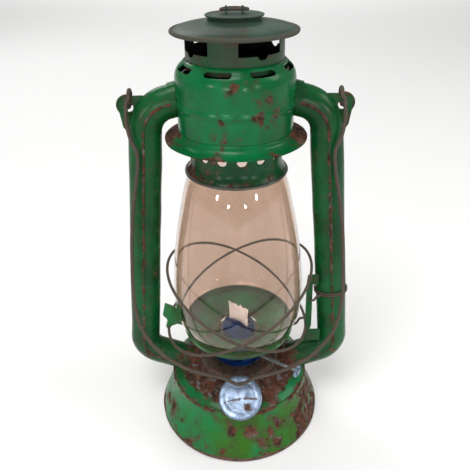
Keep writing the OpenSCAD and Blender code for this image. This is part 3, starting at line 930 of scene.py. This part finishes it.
piece(
    "drum_shell", dented(turned(sheet_outline(drum_line)), 0.3, 16, seed=6), drum_paint, "frame",
    ["drum"], drum_wear, cutters=drum_slots,
)
brim_line = smooth_line(
    [
        (COLLAR_R + 0.7, BRIM_Z + 1.6), (34, BRIM_Z + 3.4), (DRUM_R - 1.1, BRIM_Z + 5.7),
        (DRUM_R - 0.1, BRIM_Z + 5.7), (38, BRIM_Z + 3.4), (40.5, BRIM_Z + 1.7),
        (BRIM_R - 0.6, BRIM_Z + 0.9),
    ]
)


def brim_wear(p):
    ends = ramp(abs(azimuth_of(p)), 48, 80) * ramp(abs(azimuth_of(p)), 135, 100)
    edge = band(math.hypot(p.x, p.y), BRIM_R, 1.6)
    return 0.36 * ends + 0.1 * edge + 0.22 * spot(p, -16, BRIM_Z + 1, 9) + 0.1 * spot(p, 30, BRIM_Z + 1, 6)


piece(
    "brim_shell", dented(turned(sheet_outline(brim_line, side=-1)), 0.35, 15, seed=7), drum_paint,
    "frame", ["drum_brim"], brim_wear,
)

# ---------------------------------------------------------------- hood

HOLES, FIRST_HOLE, HOLE_R, HOLE_Z = 15, 6.7, 3.1, 217.7
collar_line = smooth_line([(32.6, 202.9), (31.2, 204.6), (30.2, 206.8), (COLLAR_R, 209)], 4)
collar_line += [Vector((COLLAR_R, z)) for z in (212, 215, 218, 221, 224.5)] + [Vector((27.9, 226))]
hole_drill = moved(
    prism(round_section(HOLE_R, 24), COLLAR_R - 5, COLLAR_R + 5),
    Matrix.Translation((0, 0, HOLE_Z)) @ Matrix.Rotation(math.pi / 2, 4, "Y"),
)
collar_holes = [moved(hole_drill, facing(FIRST_HOLE + 360 / HOLES * i)) for i in range(HOLES)]


def collar_wear(p):
    left = ramp(azimuth_of(p), -20, -50)
    streak = 0.16 * spot(p, -22, 212, 8) + 0.1 * spot(p, 40, 208, 9)
    return 0.14 * left + streak + 0.1 * band(p.z, 204, 2.5) + 0.1 * band(p.z, 222, 5)


piece(
    "collar_shell", turned(sheet_outline(collar_line)), collar_paint, "hood",
    ["globe_collar"], collar_wear, cutters=collar_holes,
)
piece(
    "bead_wire", dented(turned(ring_outline(32.6, 202, 1.0)), 0.25, 9, seed=8), worn_bead, "hood",
    ["collar_bead"], lambda p: 0.1 + 0.1 * ramp(azimuth_of(p), 10, -50),
)


SIDEWAYS = Matrix(((0, 0, 1, 0), (1, 0, 0, 0), (0, 1, 0, 0), (0, 0, 0, 1)))
CHIMNEY_LOW, CHIMNEY_HIGH = 268.8, 291.4
FIRST_WINDOW, WINDOW_HALF_ARC = 31.5, 28
WINDOW_LOW, WINDOW_HIGH = 279.6, 287.4
NOTCH_R, NOTCH_Z = 3.6, 280.8


def window_cutter(middle):
    """A wide window in the chimney wall, with a round notch in its lower edge."""
    half = CHIMNEY_R * math.sin(math.radians(WINDOW_HALF_ARC))
    start = math.asin((NOTCH_Z - WINDOW_LOW) / NOTCH_R)
    outline = [(-half, WINDOW_LOW)]
    for k in range(17):
        a = math.pi + start + (math.pi - 2 * start) * k / 16
        outline.append(Vector((0, NOTCH_Z)) + polar(NOTCH_R, a))
    outline += [(half, WINDOW_LOW), (half, WINDOW_HIGH), (-half, WINDOW_HIGH)]
    return moved(prism(outline, 15, 36), facing(middle) @ SIDEWAYS)


chimney_step = (CHIMNEY_HIGH - CHIMNEY_LOW) / 16
chimney_line = [Vector((CHIMNEY_R, CHIMNEY_LOW + chimney_step * k)) for k in range(17)]
windows = [window_cutter(FIRST_WINDOW + 90 * i) for i in range(4)]


def chimney_wear(p):
    return 0.1 * ramp(azimuth_of(p), -20, -60) + 0.06 * band(p.z, 270, 5) + 0.1 * band(p.z, 288, 3)


piece(
    "chimney_shell", turned(sheet_outline(chimney_line, 0.8)), chimney_paint, "hood",
    ["chimney"], chimney_wear, cutters=windows,
)

CANOPY_R = radius_of("canopy_rim")
canopy_line = smooth_line(
    [(15.2, 296.6), (18, 295.5), (26, 294.4), (33, 292.8), (CANOPY_R - 3.2, 291.6), (CANOPY_R - 1.6, 290.7)]
)


def canopy_wear(p):
    edge = band(math.hypot(p.x, p.y), CANOPY_R, 5)
    return 0.14 * edge + 0.12 * spot(p, 12, 294, 9) + 0.1 * spot(p, -60, 293, 8) + 0.1 * spot(p, 130, 293, 12)


piece(
    "canopy_shell", dented(turned(sheet_outline(canopy_line, side=-1)), 0.5, 14, seed=9), canopy_paint,
    "hood", ["canopy"], canopy_wear,
)
piece(
    "canopy_roll", dented(turned(ring_outline(CANOPY_R - 1.35, 290.2, 1.3)), 0.5, 14, seed=9),
    rusted("canopy_rust", tint=(0.042, 0.044, 0.028), red=0.36, seed=9), "hood",
    ["canopy_rim"],
)
crown_line = [
    (0, 299), (8, 299), (12.5, 298.9), (13.6, 298.6), (14.5, 298.5), (15.6, 298.9), (16.6, 299.2),
    (17.3, 299), (17.4, 298.5), (17.0, 298.0), (15.5, 297.5), (15.2, 295.7), (14.3, 295.7),
    (14.3, 297.5), (12.3, 298.1), (0, 298.1),
]
piece(
    "crown_cap", dented(turned(crown_line, 96, closed=False), 0.3, 9, seed=3), canopy_paint, "hood",
    ["crown"],
    lambda p: 0.1 * band(math.hypot(p.x, p.y), 14.5, 1.5) + 0.08 * spot(p, 150, 299, 8),
)
LOOP_R, LOOP_WIRE_R, LOOP_BAR_R = 8, 0.78, 0.88
LOOP_Z = joint_place("ring_swing").z
loop_line = [Vector((*polar(LOOP_R, math.pi * k / 24), LOOP_Z)) for k in range(25)]
loop_bar = [Vector((LOOP_R * (1 - k / 6), 0, LOOP_Z)) for k in range(13)]
piece(
    "loop_wire",
    joined(swept(loop_line, round_section(LOOP_WIRE_R)), swept(loop_bar, round_section(LOOP_BAR_R))),
    rusty_wire, "lift_ring", ["lift_ring"],
)

# ---------------------------------------------------------------- globe and its plate

globe_line = smooth_line(
    [
        (38.5, 76), (38.8, 80.2), (41.3, 83), (43.6, 87.5), (45.2, 94), (46.1, 103), (46.1, 112),
        (45.6, 122), (44.4, 136), (42.6, 150), (40.2, 164), (37.4, 178), (34.8, 190), (32.2, 198.2),
        (30.7, 202), (29.9, 204.6),
    ],
    4,
)
globe = piece(
    "globe_glass", turned(sheet_outline(globe_line, 1.8), 160), globe_glass, "globe_carriage",
    ["globe"], crease_angle=80,
)
globe.visible_shadow = False
PLATE_R = 40
plate_line = [Vector(p) for p in ((15.4, 71.4), (16.6, 71.4), (17.4, 69.8))]
plate_line += smooth_line([(18.6, 69.7), (26, 70.4), (31, 71.6), (35.5, 73.6), (37.6, 74.8), (38.6, 75.4)], 4)
plate_line += smooth_line([(39.4, 76.2), (PLATE_R - 0.3, 77.2), (PLATE_R, 79.4)], 4)


def plate_wear(p):
    return 0.1 * ramp(math.hypot(p.x, p.y), 30, 18) + 0.08 * band(p.z, 79, 1.5)


piece(
    "plate_shell", dented(turned(sheet_outline(plate_line, side=-1)), 0.3, 10, seed=5), plate_paint,
    "globe_carriage", ["globe_plate"], plate_wear,
)


HOOP_Z, HOOP_STEPS, GUARD_WIRE_R = 103, 160, 0.98


def hoop_shape(radius, tilt, seed):
    """A guard wire bent by hand: a tilted hoop that is not quite true."""
    turn = Matrix.Translation((0, 0, HOOP_Z)) @ Matrix.Rotation(math.radians(tilt), 4, "Y")
    line = []
    for k in range(HOOP_STEPS):
        around = polar(1, 2 * math.pi * k / HOOP_STEPS).to_3d()
        sway = 0.35 * noise.noise(around * 1.7 + Vector((seed, 0, 0)))
        line.append(turn @ (around * (radius + sway) + Vector((0, 0, sway))))
    return swept(line, round_section(GUARD_WIRE_R), closed=True)


for name, radius, tilt in (("guard_ring_left", 56, 27), ("guard_ring_right", 58.5, -27)):
    piece(name + "_wire", hoop_shape(radius, tilt, tilt), rusty_wire, "globe_carriage", [name])

# ---------------------------------------------------------------- wick, burner and its winder

WICK_TURN = Matrix.Rotation(math.radians(-32), 4, "Z")
WICK_W, WICK_T = 16, 2.4
WICK_LOW, WICK_FRAY, WICK_HIGH = 14, 83, 91.5
YARNS, WEAVE = 9, 1.3


def wick_shape(across=54, along=110):
    """A flat woven strip: one rib for each yarn, a cross weave, and a torn, slanting top edge."""
    vertices, faces = [], []
    ring = 2 * (across + 1)
    for j in range(along + 1):
        share = j / along
        z = WICK_LOW + (WICK_HIGH - WICK_LOW) * share**0.6
        for k in range(ring):
            front = k <= across
            u = k / across if front else 1 - (k - across - 1) / across
            edge = math.sqrt(max(0, 1 - (2 * u - 1) ** 8))
            rib = abs(math.sin(math.pi * YARNS * u))
            weave = 0.12 * math.sin(math.pi * 2 * z / WEAVE + math.pi * round(YARNS * u))
            depth = (WICK_T / 2 - 0.32 + 0.22 * rib + weave) * edge
            x = (u - 0.5) * WICK_W
            tear = 1.6 * noise.noise(Vector((x / 2.2, front * 3.0, 0)))
            slant = -0.22 * (x + WICK_W / 2)
            frayed = ramp(z, WICK_FRAY, WICK_HIGH)
            top = frayed * (slant + tear + 1.5 * noise.noise(Vector((x / 0.8, front * 5.0, 4))))
            y = -depth if front else depth
            lean = 0.9 * frayed**2 * math.sin(x / 5)
            vertices.append(Vector((x, y * (1 + 0.15 * frayed) + lean, z + top)))
    for j in range(along):
        for k in range(ring):
            n = (k + 1) % ring
            faces.append([j * ring + k, j * ring + n, (j + 1) * ring + n, (j + 1) * ring + k])
    for j, flip in ((0, True), (along, False)):
        for k in range(across):
            face = [j * ring + k, j * ring + k + 1, j * ring + ring - 2 - k, j * ring + ring - 1 - k]
            faces.append(face[::-1] if flip else face)
    return moved((vertices, faces), WICK_TURN)


piece(
    "wick_ribbon", wick_shape(), wick_cotton, "wick", ["wick"],
    lambda p: 0.3 * ramp(p.z, 84, 92), crease_angle=75,
)
BASKET_R = radius_of("burner_basket")


def basket_line():
    return [
        (BASKET_R, 47.2), (BASKET_R, 49), (BASKET_R - 0.5, 49.6), (BASKET_R - 0.5, 50.6),
        (BASKET_R, 51.2), (BASKET_R, 54.6), (BASKET_R - 0.3, 55.6), (BASKET_R - 1.4, 57.2),
        (16.6, 58.2), (14.6, 58.8), (14.3, 61), (14.0, 64.5), (13.4, 67.8),
    ]


AT_SHAFT = (
    Matrix.Translation(joint_place("wick_wind")) @ WICK_TURN @ Matrix.Rotation(math.pi / 2, 4, "Y")
)
SHAFT_HOLE_R, SHAFT_R = 1.5, 1.1
shaft_hole = moved(rod(SHAFT_HOLE_R, 8, 30), AT_SHAFT)
piece(
    "basket_shell", turned(sheet_outline([Vector(p) for p in basket_line()], 0.8), 120), blue_lacquer,
    "frame", ["burner_basket"], cutters=[shaft_hole],
)
DOME_R, DOME_Z, DOME_TOP = 12.8, 68, 79.5
dome_line = smooth_line(
    [
        (DOME_R + 0.5, DOME_Z), (DOME_R, DOME_Z + 3.5), (DOME_R - 1.6, DOME_Z + 7),
        (DOME_R - 4.4, DOME_Z + 9.8), (DOME_R - 8, DOME_TOP), (0.8, DOME_TOP + 0.3),
    ]
)
dome_slot = moved(
    prism([(-9.5, -3.4), (9.5, -3.4), (9.5, 3.4), (-9.5, 3.4)], DOME_Z + 4, DOME_Z + 24), WICK_TURN
)
piece(
    "dome_shell", turned(sheet_outline(dome_line, 0.7), 96), blue_lacquer, "frame",
    ["burner_dome"], cutters=[dome_slot],
)
SHAFT_LEN = 53.5
shaft_outline = [
    (0, -8), (1.0, -8), (SHAFT_R, -7.8), (SHAFT_R, SHAFT_LEN - 0.3), (0.8, SHAFT_LEN), (0, SHAFT_LEN)
]
piece(
    "shaft_wire", moved(turned(shaft_outline, 24, closed=False), AT_SHAFT), bright_steel, "wick_winder",
    ["wick_shaft"],
)


KNOB_DEEP = 2.6


def knob_shape(teeth=22):
    """Thin pressed wheel with a milled edge and a dished face."""
    profile = [
        (SHAFT_R, 0.1), (3.4, 0.2), (3.9, -0.15), (4.45, 0.0), (4.6, 0.35), (4.6, 1.15), (4.4, 1.4),
        (3.6, 1.35), (3.2, 0.95), (2.3, 0.95), (2.1, 2.5), (SHAFT_R, KNOB_DEEP),
    ]
    steps = teeth * 6
    shape = turned([Vector(p) for p in profile], steps)
    milled = []
    for v in shape[0]:
        radius = math.hypot(v.x, v.y)
        notch = 0.22 * ramp(radius, 4.2, 4.5) * (1 + math.cos(teeth * math.atan2(v.y, v.x)))
        scale = (radius - notch) / radius
        milled.append(Vector((v.x * scale, v.y * scale, v.z)))
    return moved((milled, shape[1]), AT_SHAFT @ Matrix.Translation((0, 0, SHAFT_LEN - KNOB_DEEP)))


piece("milled_knob", knob_shape(), zinc, "wick_winder", ["wick_knob"], lambda p: -0.1)

# ---------------------------------------------------------------- lifter

LEVER_OUTLINE = [
    (48.9, 63.5), (60.4, 63.5), (60.6, 73.4), (52.4, 73.4), (53.6, 77.8), (53.2, 114), (57.2, 114.6),
    (57.2, 122.4), (49.6, 121.6), (48.9, 116),
]
lever = piece(
    "lever_bar", moved(prism(LEVER_OUTLINE, 6.7, 8.5), UPRIGHT), tube_paint, "globe_carriage",
    ["lifter_lever"], lambda p: 0.05, crease_angle=30,
)
bevel = lever.modifiers.new("rolled_edges", "BEVEL")
bevel.width = 0.35 * MM
bevel.segments = 3
bevel.limit_method = "ANGLE"
link_line = smooth_line([(40.6, -6.2, 76.9), (43, -6.6, 79), (45, -7, 83), (48.3, -7.4, 84)], 8)
piece(
    "link_wire", swept(link_line, round_section(0.9)), rusty_wire, "globe_carriage",
    ["lifter_link"],
)


def keeper_shape():
    """Wire bound twice round the right tube, ending in the hook in front of the lever."""
    shapes = []
    slope = Matrix.Rotation(-TUBE_LEAN, 4, "Y")
    long_r, short_r = (half + 0.75 for half in TUBE_HALF)
    for z in (104.4, 106):
        centre = Vector((leg_x(z), 0, z))
        line = []
        for k in range(72):
            a = 2 * math.pi * k / 72
            line.append(centre + slope @ Vector((long_r * math.cos(a), short_r * math.sin(a), 0)))
        shapes.append(swept(line, round_section(0.72), closed=True))
    hook = smooth_line([(59, -8.7, 105), (56, -9.4, 104), (54.3, -10, 102), (51.6, -10.2, 101.4)], 8)
    shapes.append(swept(hook, round_section(0.8)))
    return joined(*shapes)


piece("keeper_wire", keeper_shape(), rusty_wire, "frame", ["lifter_keeper"])

# ---------------------------------------------------------------- bail

BAIL_HALF = [
    (-66.6, -5.3, 249.3), (-67, -6.2, 244), (-67.4, -7.6, 237), (-65.2, -9.9, 226), (-61.8, -11.4, 217),
    (-62.6, -12.2, 205), (-66, -13.9, 187), (-68.8, -17.7, 165), (-70.2, -22.5, 140),
    (-70.4, -26.8, 118), (-67.4, -30.6, 98.4), (-60, -33.8, 84.8), (-49, -36.3, 73.6), (-36, -38.2, 66),
    (-22, -39.4, 61.4), (-11, -40.1, 58.7), (-5, -40.7, 55.5),
]
BAIL_MIDDLE = (0, -41, 53.6)
BAIL_WIRE_R = 1.25


def other_side(points):
    """The points mirrored to the other side of the lamp, in reverse order."""
    return [Vector((-p.x, p.y, p.z)) for p in reversed(points)]


def bail_shape():
    """One wire from eye to eye: each end turns nearly a full loop through its ear."""
    eye = []
    for k in range(26):
        a = math.pi - 2 * math.pi * k / 28
        eye.append(Vector((-66.4 + 1.5 * (1 - k / 25), EYE_R * math.cos(a), BAIL_Z + EYE_R * math.sin(a))))
    eye.reverse()
    half = [Vector(p) for p in BAIL_HALF]
    middle = smooth_line(half + [Vector(BAIL_MIDDLE)] + other_side(half), 7)
    return swept(eye[:-1] + middle + other_side(eye)[1:], round_section(BAIL_WIRE_R, 14))


piece("bail_wire", bail_shape(), rusty_wire, "bail", ["bail"], crease_angle=60)

# ---------------------------------------------------------------- CAD nodes that keep their shape

CAD_FINISHES = {
    "fount_bottom": rusty_steel,
    "filler_neck": zinc,
    "filler_gasket": gasket_cork,
    "air_chamber": rusty_steel,
    "wick_tube": bright_steel,
    "wick_spurs": bright_steel,
    "globe_plate_tab": plate_paint,
    "tube_collars": tube_paint,
    "flue": sooty_steel,
    "hood_spring": bright_steel,
    "crown_tabs": canopy_paint,
}
for node_name, material in CAD_FINISHES.items():
    node = frame["nodes"][node_name]
    if node.material_slots:
        node.material_slots[0].material = material
    else:
        node.data.materials.append(material)

# ---------------------------------------------------------------- stage, light and camera

FLOOR_HALF = 8
corners = [(FLOOR_HALF * x, FLOOR_HALF * y, 0) for x, y in ((-1, -1), (1, -1), (1, 1), (-1, 1))]
floor_mesh = bpy.data.meshes.new("floor")
floor_mesh.from_pydata(corners, [], [(0, 1, 2, 3)])
floor = bpy.data.objects.new("floor", floor_mesh)
bpy.context.scene.collection.objects.link(floor)
floor_shader = Shader("floor_paint")
floor_mesh.materials.append(floor_shader.finish((0.86, 0.86, 0.86), 0.9))

scene = bpy.context.scene
scene.view_settings.view_transform = "Standard"
world = bpy.data.worlds.new("soft_room")
scene.world = world
world.use_nodes = True
room = world.node_tree.nodes["Background"]
room.inputs["Color"].default_value = (1.0, 0.985, 0.965, 1)
room.inputs["Strength"].default_value = 0.37


def lamp(name, place, target, size, power):
    """A round lamp of a size in metres and a power in watts, turned to its target."""
    data = bpy.data.lights.new(name, "AREA")
    data.shape = "DISK"
    data.size = size
    data.energy = power
    made = bpy.data.objects.new(name, data)
    scene.collection.objects.link(made)
    made.location = place
    made.rotation_euler = (Vector(target) - Vector(place)).to_track_quat("-Z", "Y").to_euler()


MIDDLE = (CAD_LOW + CAD_HIGH) / 2
lamp("top_panel", (-0.35, -0.7, 1.7), MIDDLE, 1.1, 21)
lamp("far_panel", (0, 4, 2.5), (0, 5, 0), 4, 75)
lamp("side_panel", (1.5, -0.2, 1.1), MIDDLE, 0.9, 9)
lamp("back_panel", (-0.8, 1.3, 1.4), MIDDLE, 0.9, 9)
LAMP_REACH = 1.7
for k, (azimuth, height) in enumerate(((-42, 0.42), (-17, 0.26), (17, 0.26), (42, 0.42))):
    around = math.radians(azimuth)
    place = (LAMP_REACH * math.sin(around), -LAMP_REACH * math.cos(around), height)
    lamp(f"round_lamp_{k}", place, MIDDLE, 0.12, 2.4)

camera_data = bpy.data.cameras.new("camera")
camera = bpy.data.objects.new("camera", camera_data)
scene.collection.objects.link(camera)
camera.location = (0, -0.320, 0.3415)
PITCH, ROLL = math.radians(65), math.radians(-0.78)
camera.rotation_euler = (Matrix.Rotation(PITCH, 4, "X") @ Matrix.Rotation(ROLL, 4, "Z")).to_euler()
camera_data.sensor_width = 36
camera_data.lens = 40.83
camera_data.shift_x = -0.0034
camera_data.shift_y = -0.115
camera_data.clip_start = 0.01
scene.camera = camera
